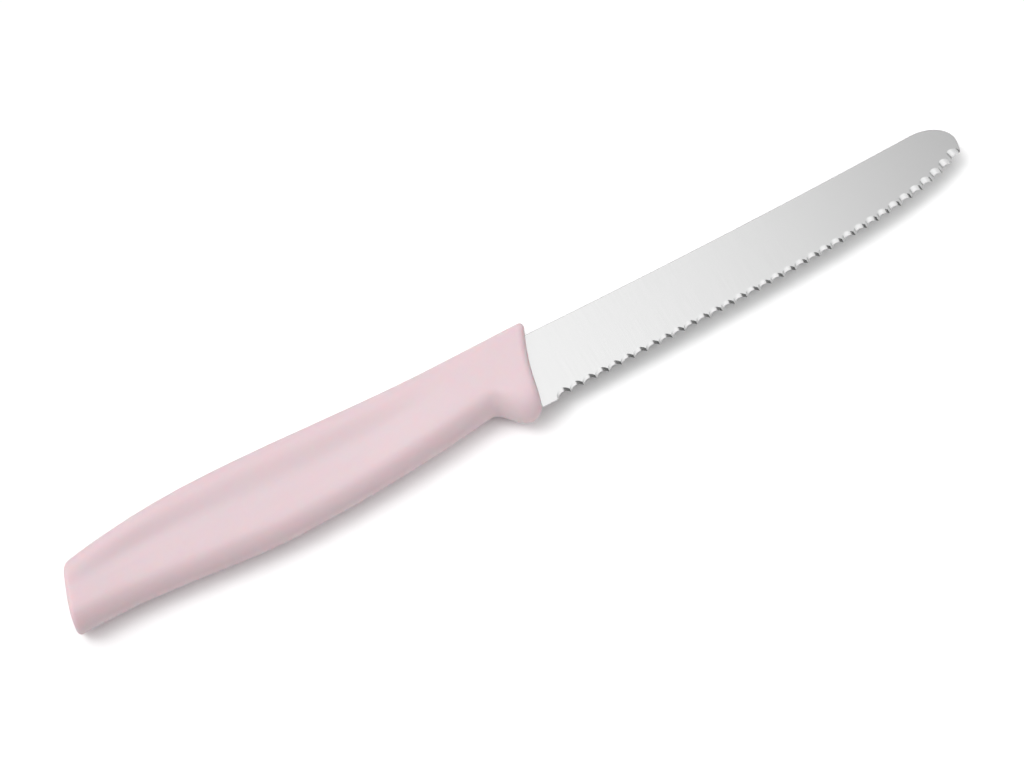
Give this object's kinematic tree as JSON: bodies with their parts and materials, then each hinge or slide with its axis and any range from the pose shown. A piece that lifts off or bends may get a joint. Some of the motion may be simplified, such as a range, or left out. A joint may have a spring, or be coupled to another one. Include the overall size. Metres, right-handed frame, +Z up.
{
  "type": "sandwich knife",
  "caption": "Small round-nosed knife with a wavy serrated steel blade over-moulded in a pale pink plastic handle with a finger notch and guard, for sandwiches, rolls and tomatoes.",
  "frame": {"origin": "middle of the footprint, on the surface that the knife lies on", "axes": "+X along the knife to the tip of the blade, +Y across it from the cutting edge to the back, +Z up, out of the side that the wavy edge is ground from"},
  "size_m": [0.2086, 0.0216, 0.011],
  "materials": {
    "steel": "fine-ground and lightly polished flanks, bright ground hollows along the edge",
    "plastic": "satin, finely textured from the mould"
  },
  "bodies": {
    "root": {"blade": "steel", "handle": "plastic"}
  },
  "joints": []
}
